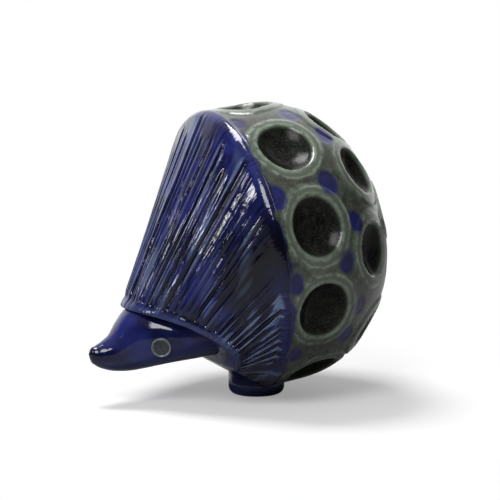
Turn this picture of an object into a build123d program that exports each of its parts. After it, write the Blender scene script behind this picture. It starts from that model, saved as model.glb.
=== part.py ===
"""Glazed ceramic hedgehog: a hollow dimpled back, a carved front with a brow, a head, a base, two eyes.

The frame: the floor is z = 0, the head points along -X, the left side is -Y, and the origin lies under
the middle of the figure. All lengths are millimetres and all angles are degrees.
"""
from build123d import *
from math import cos, radians, sin, tan
import os

# The body's axis rises towards the back, and everything on the back is placed along it and round it.
AXIS_X = 5.6
AXIS_TILT = 9.1
BODY_RADIUS = 55.5
BELLY_CLEARANCE = 2.76
WALL = 9.0
OVERRUN = 5.0

# The back, from the rim where it meets the carved front to its closed end.
RIM_AHEAD = 6.2
STRAIGHT_BEHIND = 9.3
BEND_RADIUS = 39.4
BEND_TURN = 51.0

# The pressed bowls stand in three rings, with one at the middle of the closed end. Each ring runs
# from the top down both sides alike, so an angle stands for one bowl on each side.
BOWL_DEPTH = 5.0
RING_PLACES = (8.8, 34.5, 49.0)
RING_BOWL_RADII = (12.4, 10.8, 7.8)
RING_ANGLES = (
    (0.0, 40.0, 77.0, 112.0, 153.0),
    (20.0, 52.0, 93.0, 141.0, 180.0),
    (0.0, 72.0, 144.0),
)
RING_SHIFT_SHARES = (
    (0.0, -0.06, 0.0, -0.10, 0.05),
    (0.0, 0.18, -0.05, -0.05, 0.0),
    (0.0, 0.0, 0.0),
)
END_BOWL_RADIUS = 8.2

# The carved front runs from the rim to the brow, which overhangs the head.
SHOULDER_AHEAD = 7.2
SHOULDER_ROUND = 4.0
SHOULDER_TURN = 54.0
SHOULDER_STEPS = 3
BROW_X = -45.3
BROW_Z = 37.9
BROW_HALF_WIDTH = 28.5
BROW_BACK_X = -12.1
BROW_BACK_Z = 10.7
BROW_WIDEST_SHARE = 0.8
ROUND_WIDEST_SHARE = 0.5
CAVITY_END_SHARE = 0.6
SECTION_POINTS = 32

# The main grooves of the combed front fan out from the brow to the shoulder, the same on both sides.
GROOVE_COUNT = 16
GROOVE_TURN = 8.6
GROOVE_DEPTH = 1.0
GROOVE_RADIUS = 2.4
BROW_GROOVE_DEPTH = 0.5
BROW_GROOVE_RADIUS = 0.9

# The throat is the hollowed edge under the brow, from its tip back and down to the floor.
THROAT_TIP_RISE = 1.5
THROAT_MIDDLE_X = -31.1
THROAT_MIDDLE_Z = 33.9
THROAT_BACK_X = -11.7
THROAT_BACK_Z = 19.7
THROAT_HEEL_X = -9.6

# The head, from its root in the throat to the tip of the nose.
HEAD_ROOT_X = -12.1
NOSE_X = -60.1
NOSE_Z = 20.4
JAW_Z = 12.5
CROWN_Z = 39.7
HEAD_HALF_WIDTH = 21.0
HEAD_ALONG_SHARES = (0.0, 0.16, 0.38, 0.54, 0.66, 0.74, 0.80, 0.87, 0.94, 0.98)
HEAD_TOP_SHARES = (0.80, 0.92, 0.98, 0.99, 0.90, 0.73, 0.57, 0.47, 0.40, 0.36)
HEAD_BOTTOM_SHARES = (0.18, 0.15, 0.10, 0.05, 0.02, 0.02, 0.03, 0.06, 0.12, 0.19)
HEAD_WIDTH_SHARES = (0.95, 1.0, 0.90, 0.72, 0.54, 0.42, 0.33, 0.25, 0.17, 0.10)
HEAD_WIDEST_SHARE = 0.50

# The eyes are pressed discs.
EYE_LINE_X = -29.8
EYE_Z = 23.9
EYE_RADIUS = 3.9
EYE_PUPIL_RADIUS = 3.0
EYE_THICKNESS = 2.2
EYE_PROUD = 0.7
EYE_RING_GROOVE = 0.4
EYE_FORWARD_TURN = 22.0

# The vent lets air out of the hollow body in the kiln. It is in the plain belly.
VENT_ALONG = 17.0
VENT_RADIUS = 2.5

# The round base carries the whole figure under its middle, where the front meets the back. Ahead of it the
# belly is pared away along a slope, from the throat down to the base.
BASE_X = 9.9
BASE_RADIUS = 11.0
BASE_HEIGHT = 10.4
BASE_EDGE = 3.0
PARED_FRONT_Z = 14.5
PARED_BACK_Z = 3.4


def axis_height():
    """How high the body's axis passes, so that the belly just clears the floor at the shoulder."""
    tilt = radians(AXIS_TILT)
    return BELLY_CLEARANCE + BODY_RADIUS * cos(tilt) + SHOULDER_AHEAD * sin(tilt)


def body_place(along, side, up):
    """A point given along the body's axis, to its side, and square to both."""
    tilt = radians(AXIS_TILT)
    x = AXIS_X + along * cos(tilt) - up * sin(tilt)
    z = axis_height() + along * sin(tilt) + up * cos(tilt)
    return Vector(x, side, z)


def to_body(shape):
    """Turns a shape from the body's own axis frame to the figure's frame."""
    return Pos(AXIS_X, 0, axis_height()) * Rot(0, -AXIS_TILT, 0) * shape


def cap_radius():
    """The radius of the arc that closes the back, tangent to the bend and square to the axis."""
    return BEND_RADIUS + (BODY_RADIUS - BEND_RADIUS) / cos(radians(BEND_TURN))


def cap_centre():
    """Where the closing arc's centre lies along the axis."""
    return STRAIGHT_BEHIND - (BODY_RADIUS - BEND_RADIUS) * tan(radians(BEND_TURN))


def bend_place(turn, inset):
    """The point, along and up, where the bend has turned by an angle."""
    bend = BEND_RADIUS - inset
    along = STRAIGHT_BEHIND + bend * sin(radians(turn))
    return along, BODY_RADIUS - BEND_RADIUS + bend * cos(radians(turn))


def back_form(inset, start):
    """The closed form of the back, made smaller on every side by inset."""
    radius = BODY_RADIUS - inset
    cap = cap_radius() - inset
    bend_start, bend_middle, bend_end = [bend_place(turn, inset) for turn in (0, BEND_TURN / 2, BEND_TURN)]
    pole = (cap_centre() + cap, 0)
    edges = [
        Line((start, 0), (start, radius)),
        Line((start, radius), bend_start),
        ThreePointArc(bend_start, bend_middle, bend_end),
        RadiusArc(bend_end, pole, cap),
        Line(pole, (start, 0)),
    ]
    return to_body(revolve(make_face(Wire(edges)), Axis.X, 360))


def back_surface(along, angle):
    """The point and outward direction of the back's surface at an angle from the top."""
    bend_end_along = bend_place(BEND_TURN, 0)[0]
    if along <= STRAIGHT_BEHIND:
        radius = BODY_RADIUS
        normal_along = 0
        normal_up = BODY_RADIUS
    elif along <= bend_end_along:
        normal_along = along - STRAIGHT_BEHIND
        normal_up = (BEND_RADIUS ** 2 - normal_along ** 2) ** 0.5
        radius = BODY_RADIUS - BEND_RADIUS + normal_up
    else:
        normal_along = along - cap_centre()
        radius = (cap_radius() ** 2 - normal_along ** 2) ** 0.5
        normal_up = radius
    turn = radians(angle)
    spot = body_place(along, -radius * sin(turn), radius * cos(turn))
    outside = radius + normal_up
    further = body_place(along + normal_along, -outside * sin(turn), outside * cos(turn))
    return spot, (further - spot).normalized()


def bowl(along, angle, mouth):
    """The ball that presses one bowl into the back."""
    sag = BODY_RADIUS - (BODY_RADIUS ** 2 - mouth ** 2) ** 0.5
    depth = BOWL_DEPTH
    ball_radius = (mouth ** 2 + depth ** 2) / (2 * depth)
    spot, outward = back_surface(along, angle)
    centre = spot + outward * (ball_radius - depth - sag)
    return Pos(*centre) * Sphere(ball_radius)


def bowls():
    """Every bowl of the back."""
    balls = [bowl(cap_centre() + cap_radius(), 0, END_BOWL_RADIUS)]
    rings = zip(RING_PLACES, RING_BOWL_RADII, RING_ANGLES, RING_SHIFT_SHARES)
    for place, mouth, angles, shift_shares in rings:
        for angle, shift_share in zip(angles, shift_shares):
            along = place + mouth * shift_share
            balls.append(bowl(along, angle, mouth))
            if 0 < angle < 180:
                balls.append(bowl(along, -angle, mouth))
    return balls


def vent():
    """The drill that opens the vent through the belly wall."""
    spot, outward = back_surface(VENT_ALONG, 180)
    drill = Cylinder(VENT_RADIUS, 2 * WALL + 2 * OVERRUN)
    return Plane(origin=spot, z_dir=outward) * drill


def section_points(top, bottom, half_width, widest_share):
    """Points round a closed section, from its top: two half ellipses that meet where it is widest."""
    middle = top + (bottom - top) * widest_share
    points = []
    for i in range(SECTION_POINTS):
        turn = radians(360 * i / SECTION_POINTS)
        reach = (top - middle) * cos(turn) if cos(turn) > 0 else (middle - bottom) * cos(turn)
        points.append(middle + reach + Vector(0, -half_width * sin(turn), 0))
    return points


def section_face(top, bottom, half_width, widest_share):
    """One flat face across the carved front."""
    points = section_points(top, bottom, half_width, widest_share)
    return make_face(Wire([Spline(*points, periodic=True)]))


def rim_station(along, inset):
    """The round section where the front meets the back, or near it."""
    radius = BODY_RADIUS - inset
    return body_place(along, 0, radius), body_place(along, 0, -radius), radius, ROUND_WIDEST_SHARE


def shoulder_station(turn):
    """The section across the front where its rounded shoulder has turned by an angle."""
    along = -SHOULDER_AHEAD - SHOULDER_ROUND * sin(radians(turn))
    return rim_station(along, SHOULDER_ROUND * (1 - cos(radians(turn))))


def brow_station(inset):
    """The section at the brow, which leans forward over the head."""
    top = Vector(BROW_X, 0, BROW_Z)
    bottom = Vector(BROW_BACK_X, 0, BROW_BACK_Z)
    inward = (bottom - top).normalized() * inset
    return top + inward, bottom - inward, BROW_HALF_WIDTH - inset, BROW_WIDEST_SHARE


def blend_stations(first, second, share):
    """The section a share of the way from one section to another."""
    return tuple(a + (b - a) * share for a, b in zip(first, second))


def front_form(start):
    """The closed form from a place along the axis to the brow, straight between shoulder and brow."""
    turns = [SHOULDER_TURN * i / SHOULDER_STEPS for i in range(SHOULDER_STEPS + 1)]
    shoulder = [shoulder_station(turn) for turn in turns]
    stations = [rim_station(start, 0)] + shoulder + [brow_station(0)]
    return loft([section_face(*station) for station in stations], ruled=True)


def groove(share):
    """One tapered groove of the front, from the shoulder to the brow, at a share of the way round."""
    ends = []
    sides = ((shoulder_station(SHOULDER_TURN), GROOVE_RADIUS, GROOVE_DEPTH),
             (brow_station(0), BROW_GROOVE_RADIUS, BROW_GROOVE_DEPTH))
    outlines = [Spline(*section_points(*station), periodic=True) for station, radius, depth in sides]
    near, far = [outline.position_at(share) for outline in outlines]
    down = (far - near).normalized()
    for outline, (station, radius, depth) in zip(outlines, sides):
        outward = down.cross(outline.tangent_at(share)).normalized()
        ends.append(outline.position_at(share) + outward * (radius - depth))
    start, end = ends
    run = end - start
    lengthening = OVERRUN / run.length
    taper = (GROOVE_RADIUS - BROW_GROOVE_RADIUS) * lengthening
    cone = Cone(GROOVE_RADIUS + taper, BROW_GROOVE_RADIUS - taper, run.length + 2 * OVERRUN)
    return Plane(origin=start + run / 2, z_dir=run) * cone


def grooves():
    """The main grooves, from the middle of the front down both sides."""
    shares = [GROOVE_TURN * i / 360 for i in range(GROOVE_COUNT)]
    return [groove(share) for share in shares] + [groove(1 - share) for share in shares[1:]]


def front_cavity():
    """The hollow inside the front, open towards the back."""
    opening = rim_station(-RIM_AHEAD + OVERRUN, WALL)
    start = rim_station(-RIM_AHEAD, WALL)
    end = blend_stations(start, brow_station(WALL), CAVITY_END_SHARE)
    return loft([section_face(*station) for station in (opening, start, end)], ruled=True)


def throat_cutter():
    """What is taken away under the brow, where the head goes."""
    tip = (BROW_X - OVERRUN, BROW_Z + THROAT_TIP_RISE)
    middle = (THROAT_MIDDLE_X, THROAT_MIDDLE_Z)
    back = (THROAT_BACK_X, THROAT_BACK_Z)
    heel = (THROAT_HEEL_X, -OVERRUN)
    front = (NOSE_X - OVERRUN, -OVERRUN)
    front_top = (NOSE_X - OVERRUN, BROW_Z + THROAT_TIP_RISE)
    curve = Spline(tip, middle, back, heel)
    edges = [curve, Line(heel, front), Line(front, front_top), Line(front_top, tip)]
    face = Plane.XZ * make_face(Wire(edges))
    return extrude(face, BODY_RADIUS + OVERRUN, both=True)


def head_form():
    """The whole head, with its root inside the front."""
    length = NOSE_X - HEAD_ROOT_X
    height = CROWN_Z - JAW_Z
    faces = []
    stations = zip(HEAD_ALONG_SHARES, HEAD_TOP_SHARES, HEAD_BOTTOM_SHARES, HEAD_WIDTH_SHARES)
    for along_share, top_share, bottom_share, width_share in stations:
        x = HEAD_ROOT_X + length * along_share
        top = Vector(x, 0, JAW_Z + height * top_share)
        bottom = Vector(x, 0, JAW_Z + height * bottom_share)
        faces.append(section_face(top, bottom, HEAD_HALF_WIDTH * width_share, HEAD_WIDEST_SHARE))
    return loft(faces + [Vertex(NOSE_X, 0, NOSE_Z)])


def eye_place(head, side):
    """Where an eye's disc sits on the cheek: its outer middle, with local Z pointing outwards."""
    turn = radians(EYE_FORWARD_TURN)
    outward = Vector(-sin(turn), side * cos(turn), 0)
    middle = Vector(EYE_LINE_X, 0, EYE_Z)
    line = Axis(middle, outward)
    hits = [point for point, normal in head.find_intersection_points(line)]
    surface = max(hits, key=lambda point: (point - middle).dot(outward))
    return Plane(origin=surface, z_dir=outward)


def eye_disc(place):
    """The flat clay disc of an eye, half sunk in the cheek."""
    lift = EYE_PROUD - EYE_THICKNESS / 2
    disc = Pos(0, 0, lift) * Cylinder(EYE_RADIUS, EYE_THICKNESS)
    return place * fillet(disc.edges().sort_by(Axis.Z)[-1], EYE_PROUD / 2)


def eye_groove(place):
    """The shallow ring that is pressed round the middle of an eye."""
    return place * Pos(0, 0, EYE_PROUD) * Torus(EYE_PUPIL_RADIUS, EYE_RING_GROOVE)


def belly_paring():
    """What is taken off the belly of the front, between the throat and the rim."""
    front_x = THROAT_HEEL_X
    back_x = BASE_X
    slope = (PARED_BACK_Z - PARED_FRONT_Z) / (back_x - front_x)
    far_front = (NOSE_X, PARED_FRONT_Z + slope * (NOSE_X - front_x))
    far_back = (-NOSE_X, PARED_FRONT_Z + slope * (-NOSE_X - front_x))
    depth = BODY_RADIUS + OVERRUN
    below = [(-NOSE_X, -depth), (NOSE_X, -depth)]
    face = Plane.XZ * make_face(Wire(Polyline(far_front, far_back, *below, close=True)))
    return extrude(face, depth, both=True)


def base_form():
    """The round-edged base, which reaches into the wall of the body."""
    stub = extrude(Circle(BASE_RADIUS), BASE_HEIGHT)
    stub = fillet(stub.edges().sort_by(Axis.Z)[0], BASE_EDGE)
    return Pos(BASE_X, 0, 0) * stub


def main():
    os.makedirs("parts", exist_ok=True)
    room = 4 * BODY_RADIUS
    above_floor = Pos(0, 0, room / 2) * Box(room, room, room)

    back = back_form(0, -RIM_AHEAD) - back_form(WALL, -RIM_AHEAD - OVERRUN)
    back -= vent()
    base = base_form()
    back -= base
    for ball in bowls():
        back -= ball

    front_solid = (front_form(-RIM_AHEAD) - throat_cutter()) & above_floor
    mantle = front_solid - front_cavity()
    for cone in grooves():
        mantle -= cone
    mantle -= belly_paring()
    mantle -= base

    head = head_form() - front_solid
    eyes = {}
    for name, side in (("left_eye", -1), ("right_eye", 1)):
        place = eye_place(head, side)
        disc = eye_disc(place)
        eyes[name] = disc - eye_groove(place)
        head -= disc

    nodes = {"back_shell": back, "quill_mantle": mantle, "head": head, "base": base, **eyes}
    for name, solid in nodes.items():
        export_step(solid, "parts/" + name + ".step")


main()
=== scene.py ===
"""The looks of a glazed ceramic hedgehog: dimpled back, combed front, head, eyes and base, in a pale studio.

The figure's sizes are in millimetres and turned to metres when a piece is made. The room's are in metres.
The floor is z = 0, the nose points along -X and the figure's left side is -Y. Angles are in degrees.
"""

import bmesh
import bpy
import numpy as np
from mathutils import Matrix, Vector


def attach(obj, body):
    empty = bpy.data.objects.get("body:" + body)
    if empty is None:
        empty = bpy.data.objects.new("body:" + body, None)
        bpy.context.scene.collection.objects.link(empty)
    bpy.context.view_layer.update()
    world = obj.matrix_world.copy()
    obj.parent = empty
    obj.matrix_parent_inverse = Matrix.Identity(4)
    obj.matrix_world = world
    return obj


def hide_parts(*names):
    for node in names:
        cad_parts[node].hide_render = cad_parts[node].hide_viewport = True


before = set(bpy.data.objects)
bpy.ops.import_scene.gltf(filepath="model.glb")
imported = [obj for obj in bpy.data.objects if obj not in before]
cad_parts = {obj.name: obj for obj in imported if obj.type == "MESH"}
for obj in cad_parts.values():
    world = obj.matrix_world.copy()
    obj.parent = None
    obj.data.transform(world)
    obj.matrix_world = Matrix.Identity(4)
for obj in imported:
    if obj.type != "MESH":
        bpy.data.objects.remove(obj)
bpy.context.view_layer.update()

MM = 0.001

# The body, as in the solid model.
AXIS_X = 5.6
AXIS_TILT = 9.1
BODY_RADIUS = 55.5
BELLY_CLEARANCE = 2.76
RIM_AHEAD = 6.2
STRAIGHT_BEHIND = 9.3
BEND_RADIUS = 39.4
BEND_TURN = 51.0
GIRTH = 349.0

# Bowls: place along the axis, angle from the top to the left, half size along, half size around.
LEFT_BOWLS = (
    (8.1, 40.0, 11.0, 12.3),
    (8.8, 76.6, 10.5, 12.6),
    (7.6, 111.7, 10.8, 12.3),
    (9.4, 153.0, 10.8, 12.0),
    (34.5, 20.0, 9.8, 10.6),
    (36.5, 52.0, 9.6, 10.8),
    (34.0, 93.0, 9.4, 11.0),
    (34.0, 141.0, 9.6, 10.6),
    (49.0, 72.0, 7.6, 7.9),
    (49.0, 144.0, 7.5, 7.8),
)
MIDDLE_BOWLS = (
    (8.8, -2.0, 10.8, 12.0),
    (34.5, 180.0, 9.8, 10.6),
    (49.0, 0.0, 7.6, 7.8),
    (54.39, 0.0, 8.0, 8.0),
)
BOWL_DEPTH = 5.0
BOWL_POWER = 2.7
BOWL_WOBBLE_SHARE = 0.018

# The ground between the bowls, and what stands up round each of them.
GROUND_DROP = 0.75
GROUND_SWAY = 0.22
GROUND_SWAY_LENGTH = 26.0
RISE_LIMIT = 0.25
RIM_FADE = 1.2
COLLAR_RISE = 0.45
COLLAR_WIDTH = 3.6
COLLAR_FADE = 0.9
LIP_RISE = 0.55
LIP_WIDTH = 0.9
LIP_OUTSIDE = 0.2
BEAD_RISE = 0.25
BEAD_WIDTH = 0.8
BEAD_OUTSIDE = 2.9

# Dots: place along the axis, angle from the top to the left, half size along, half size around.
LEFT_DOTS = (
    (-3.8, 20.0, 3.4, 4.2),
    (-3.8, 62.0, 3.4, 4.4),
    (-3.8, 97.0, 2.9, 3.7),
    (-3.6, 132.0, 3.2, 3.8),
    (18.6, 20.0, 3.6, 4.6),
    (18.6, 60.0, 3.8, 4.8),
    (18.6, 93.0, 3.0, 4.0),
    (18.6, 128.0, 3.0, 4.0),
    (27.2, 35.0, 3.4, 4.4),
    (26.3, 78.0, 2.8, 3.8),
    (23.9, 115.0, 3.0, 3.9),
    (24.2, 161.0, 3.2, 3.8),
    (43.6, 37.0, 2.7, 3.2),
    (43.4, 112.0, 2.7, 3.2),
    (44.5, 165.0, 2.6, 3.0),
)
MIDDLE_DOTS = ((26.0, 0.0, 3.4, 4.2),)
END_DOTS = tuple((52.6, angle, 2.6, 2.8) for angle in (36.0, 108.0, 180.0, 252.0, 324.0))
DOT_SPREAD = 0.35
DOT_WOBBLE_SHARE = 0.05
DOT_SINK = 0.25
DOT_SINK_SPAN = (-1.2, 0.6)

# The right side's marks stray from the left side's by up to this much.
STRAY_ALONG = 0.5
STRAY_ANGLE = 1.2
STRAY_SIZE = 0.2

# The blue glaze's reach behind the seam, and the height, count and start of its edge's lobes.
RIM_GLAZE = 0.6
RIM_LOBES = ((0.7, 13, 1.0), (0.5, 23, 2.1), (0.3, 41, 0.0))

# The carved front, as in the solid model.
SHOULDER_AHEAD = 7.2
SHOULDER_ROUND = 4.0
SHOULDER_TURN = 54.0
SHOULDER_STRAIGHT_SHARE = 0.2
BROW_X = -45.3
BROW_Z = 37.9
BROW_HALF_WIDTH = 28.5
BROW_BACK_X = -12.1
BROW_BACK_Z = 10.7
BROW_WIDEST_SHARE = 0.8
THROAT_TIP_AHEAD = 5.0
THROAT_TIP_RISE = 1.5
THROAT_MIDDLE_X = -31.1
THROAT_MIDDLE_Z = 33.9
THROAT_BACK_X = -11.7
THROAT_BACK_Z = 19.7
THROAT_HEEL_X = -9.6
THROAT_HEEL_DROP = 5.0

# Its edge, and its hand-made unevenness.
EDGE_ROUND = 1.1
EDGE_ROLL_SHARE = 0.6
EDGE_LIP_RISE = 0.3
EDGE_LIP_SPAN = (1.2, 2.6)
EDGE_DIP = 0.35
EDGE_DIP_INSIDE = 3.5
EDGE_DIP_WIDTH = 1.3
EDGE_EVENED_OVER = 7
FRONT_DROP = 0.35
FRONT_HEART_Z = 30.0
FRONT_LENGTH = 70.0
FRONT_SWAY = 0.25
FRONT_SWAY_LENGTH = 24.0

# Where the combing is calm, as on the swollen shoulder, and where it fades out towards the edge.
CALM_ANGLE = 81.0
CALM_ANGLE_WIDTH = 20.0
CALM_LEFT_SHARES = (0.3, 0.6)
CALM_SHARE = 0.85
FLANK_ANGLES = (70.0, 100.0)
PINCH_LENGTH = 10.0
PINCH_LENGTH_OFF_FLANK = 6.0
PINCH_SHARES = (0.05, 1.0)
PINCHED_SHARE = 0.15

# Combed grooves: the solid's main ones, evenly apart, a fan of more low on the flanks, and finer rows.
GROOVES_A_SIDE = 15
GROOVE_TURN = 8.6
GROOVE_DEPTH = 0.95
FAN_START = 10
FINE_COUNT_DEPTH_WIDTH = ((52, 0.42, 0.7), (90, 0.2, 0.45))

# A stroke's shape: how it ends, how much it narrows to the brow, and the ridges that it raises beside it.
STROKE_START_FADE_SHARE = 0.07
STROKE_END_FADE_SHARE = 0.1
STROKE_REACH_SHARE = 5.0
BROW_SPREAD_SHARE = 0.36
BROW_NARROW_SHARE = 0.5
RIDGE_SHARE = 0.45
RIDGE_OUTSIDE_SHARE = 1.9
RIDGE_WIDTH_SHARE = 0.75

# The head, as in the solid model.
HEAD_ROOT_X = -12.1
NOSE_X = -60.1
JAW_Z = 12.5
CROWN_Z = 39.7
HEAD_HALF_WIDTH = 21.0
HEAD_ALONG_SHARES = (0.0, 0.16, 0.38, 0.54, 0.66, 0.74, 0.80, 0.87, 0.94, 0.98, 1.0)
HEAD_TOP_SHARES = (0.80, 0.92, 0.98, 0.99, 0.90, 0.73, 0.57, 0.47, 0.40, 0.36, 0.29)
HEAD_BOTTOM_SHARES = (0.18, 0.15, 0.10, 0.05, 0.02, 0.02, 0.03, 0.06, 0.12, 0.19, 0.29)
HEAD_WIDTH_SHARES = (0.95, 1.0, 0.90, 0.72, 0.54, 0.42, 0.33, 0.25, 0.17, 0.10, 0.0)
FLANK_POWER = 0.9
NOSE_CROWDING = 1.5
NOSE_TIP_SHARE = 0.03

# The base, and the slope along which the belly is pared ahead of it.
BASE_X = 9.9
BASE_RADIUS = 11.0
BASE_HEIGHT = 10.4
BASE_EDGE = 3.0
PARED_FRONT_Z = 14.5
PARED_BACK_Z = 3.4

# Eyes. The profile gives radius and height over the head, from the disc's middle out and under the ring.
EYE_LINE_X = -29.8
EYE_Z = 23.9
EYE_RADIUS = 3.9
EYE_PUPIL_RADIUS = 3.0
EYE_LIFT = 0.15
EYE_FORWARD_TURN = 22.0
EYE_FIRST_REACH = 10.0
EYE_STEP_SHARE = 0.6
EYE_PROFILE = (
    (0.0, 0.12),
    (EYE_PUPIL_RADIUS * 0.6, 0.14),
    (EYE_PUPIL_RADIUS * 0.93, 0.16),
    (EYE_PUPIL_RADIUS, 0.05),
    (EYE_PUPIL_RADIUS * 1.05, 0.2),
    (EYE_PUPIL_RADIUS * 1.13, 0.5),
    (EYE_PUPIL_RADIUS * 1.2, 0.62),
    (EYE_RADIUS * 0.96, 0.5),
    (EYE_RADIUS, 0.1),
    (EYE_RADIUS * 1.02, -1.5),
    (0.0, -1.5),
)

# How finely pieces and curves are divided. The front's rows follow one another in this order.
BACK_COLUMNS = 440
BACK_ROWS = 128
FRONT_COLUMNS = 760
SHOULDER_ROWS = 8
FRONT_ROWS = 84
EDGE_ROWS = 6
UNDER_ROWS = 14
FRONT_START = 1 + SHOULDER_ROWS
EDGE_START = FRONT_START + FRONT_ROWS
UNDER_START = EDGE_START + EDGE_ROWS
FRONT_END = UNDER_START + UNDER_ROWS
HEAD_COLUMNS = 160
HEAD_ROWS = 120
CIRCLE_STEPS = 96
BEVEL_STEPS = 6
EYE_STEPS = 64
EYE_TRIES = 30
MERIDIAN_STEPS = 2000
RING_STEPS = 1441
THROAT_STEPS = 400
PATH_STEPS = 500
MERGED_WITHIN = 0.02
SLIVER = 0.001

# Seeds of what is uneven by hand, and the waves that it is made of.
SIDES_SEED = 7
GROUND_SEED = 3
FRONT_SEED = 5
STROKES_SEED = 11
DOTS_SEED = 100
SWAY_WAVES = 6
SWAY_LENGTH_SHARES = (0.7, 1.6)
OVAL_WAVES = 3

# Points deeper than this under a mark are on the figure's other side, and count as far away.
OTHER_SIDE = 25.0
FAR_GAP = 99.0
FAR_SHARE = 9.0

# Lengths of the glazes' waves, clouds and specks.
ORANGE_PEEL = 2.6
GLAZE_WAVES = 9.0
BLUE_CLOUDS = 14.0
PLUM_CLOUDS = 11.0
BLUE_SPECKS = 1.6
MOTTLES = 3.4
FINE_SPECKS = 0.9
GREEN_CLOUDS = 13.0
TAUPE_CLOUDS = 7.0
COLLAR_WAVES = 3.0
DOT_WAVES = 2.0
STREAKS = 1.3
THIN_STREAKS = 0.7
BROAD_STREAKS = 8.0
STREAK_STRETCH = 5.0
BASE_CLOUDS = 6.0
BASE_RUN_WAVES = 3.0

# How deep the waves are.
GLAZE_WAVE_DEPTH = 0.35
FINE_WAVE_DEPTH = 0.08

# Where the dome's colours begin and end: how far outside the edge of a bowl, a dot or the seam.
COLLAR_STRAY = 1.8
COLLAR_SPAN = (2.4, 4.4)
BEAD_INNER_SPAN = (2.0, 2.8)
BEAD_OUTER_SPAN = (2.8, 3.7)
GROUND_SPAN = (3.6, 5.0)
LIP_INNER_SPAN = (-0.9, 0.0)
LIP_OUTER_SPAN = (0.4, 1.4)
BOWL_SPAN = (-1.3, -0.2)
DOT_STRAY = 0.8
DOT_HALO_SPAN = (0.0, 1.4)
DOT_SPAN = (-0.7, 0.4)
SEAM_SPAN = (-0.6, 1.2)

# The same for the front: how far inside its edge the painted highlight reaches, how far the relief sinks or
# rises, and the way round.
EDGE_HIGHLIGHT_SPAN = (0.8, 2.4)
GROOVE_SPAN = (0.05, 0.45)
RIDGE_SPAN = (0.08, 0.3)
CREST_SPAN = (0.06, 0.22)
TROUGH_SPAN = (-0.05, 0.15)
CREST_FLANK_SPAN = (82.0, 100.0)
TROUGH_FLANK_SPAN = (84.0, 104.0)
LOW_FLANK_SPAN = (141.0, 145.0)
PALE_LINE_INNER_SPAN = (137.0, 139.0)
PALE_LINE_OUTER_SPAN = (139.5, 142.0)

# The head's underside by the way round, its nose, the green run behind the base, and the eye's pale ring.
JAW_ANGLES = (95.0, 125.0)
NOSE_SHARES = (0.9, 0.98)
BASE_RUN_STRAY = 4.0
BASE_RUN_SPAN = (BASE_X + 4.5, BASE_X + 9.5)
EYE_RING_SPAN = (EYE_PUPIL_RADIUS * 0.98, EYE_PUPIL_RADIUS * 1.06)

# How strongly a glaze mirrors: the glossy one, and the dome's thin one, whose coat is thinner in the bowls.
GLOSSY_IOR = 1.5
THIN_IOR = 1.2
THIN_ROUGHNESS = 0.2
COAT_ON_BLUE = 0.92
COAT_LOST_ON_GREEN = 0.2
COAT_LOST_IN_BOWLS = 0.66

INK = (0.0012, 0.0015, 0.007, 1)
NAVY = (0.0035, 0.0050, 0.038, 1)
COBALT = (0.014, 0.018, 0.130, 1)
PLUM = (0.013, 0.012, 0.030, 1)
PALE_BLUE = (0.140, 0.190, 0.330, 1)
STEEL_BLUE = (0.036, 0.050, 0.150, 1)
MOSS = (0.032, 0.036, 0.027, 1)
SAGE = (0.098, 0.120, 0.093, 1)
PALE_GREEN = (0.250, 0.310, 0.240, 1)
TAUPE = (0.075, 0.070, 0.058, 1)
OLIVE = (0.016, 0.018, 0.014, 1)
CHARCOAL = (0.0050, 0.0055, 0.0045, 1)
DOT_BLUE = (0.014, 0.014, 0.065, 1)
DOT_EDGE = (0.030, 0.034, 0.080, 1)
EYE_GREY = (0.042, 0.051, 0.058, 1)
EYE_PALE = (0.160, 0.190, 0.220, 1)
WHITE = (1, 1, 1, 1)
FLOOR_SEEN = (0.9, 0.9, 0.9, 1)
FLOOR_UNSEEN = (0.3, 0.3, 0.3, 1)

# Sockets of the node that mixes colours, where several share a name.
MIX_FACTOR = 0
MIX_FIRST = 6
MIX_SECOND = 7
MIX_RESULT = 2

# The camera stands where the photograph was taken from. Its distance and aim are in millimetres.
VIEW_AZIMUTH = -22.8
VIEW_ELEVATION = 8.0
VIEW_DISTANCE = 1000.0
FOCAL_SHARE = 5.1
SENSOR = 36.0
AIM = (6.6, 0.0, 52.3)
AIM_RIGHT = 0.51
AIM_UP = 4.82
VIEW_NEAREST = 0.05
VIEW_FARTHEST = 50.0

# Lamps: name, place, width and height in metres, and power in watts. All look at one place.
LAMPS = (
    ("overhead", (-0.12, 0.22, 0.78), 0.34, 0.34, 5.5),
    ("window", (-0.48, -0.62, 0.68), 0.40, 0.44, 5.4),
    ("ahead", (-0.92, 0.12, 0.34), 0.08, 0.16, 0.9),
)
LAMP_AIM = (0.0, 0.0, 0.05)

# The room's light on the figure, by how far a direction points behind it or up, and the floor's glow.
ROOM_DIM = 0.05
ROOM_BEHIND = 0.3
ROOM_BEHIND_SPAN = (-0.85, -0.3)
ROOM_ABOVE = 0.3
ROOM_ABOVE_SPAN = (0.35, 0.9)
FLOOR_RADIUS = 3.0
FLOOR_GLOW_SPAN = (0.06, 0.17)
FLOOR_LEAST_GLOW = 0.3


def axis_height():
    """How high the body's axis passes."""
    tilt = np.radians(AXIS_TILT)
    return BELLY_CLEARANCE + BODY_RADIUS * np.cos(tilt) + SHOULDER_AHEAD * np.sin(tilt)


def from_body(along, side, up):
    """Points of the figure from places along the body's axis, to its side and square to both."""
    tilt = np.radians(AXIS_TILT)
    x = AXIS_X + along * np.cos(tilt) - up * np.sin(tilt)
    z = axis_height() + along * np.sin(tilt) + up * np.cos(tilt)
    return np.stack([x, side, z], axis=-1)


def smooth(value, low, high):
    """0 below low, 1 above high, and an even turn between them."""
    share = np.clip((value - low) / (high - low), 0, 1)
    return share * share * (3 - 2 * share)


def bump_at(value, centre, width):
    """A round bump of height 1."""
    return np.exp(-((value - centre) / width) ** 2)


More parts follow.
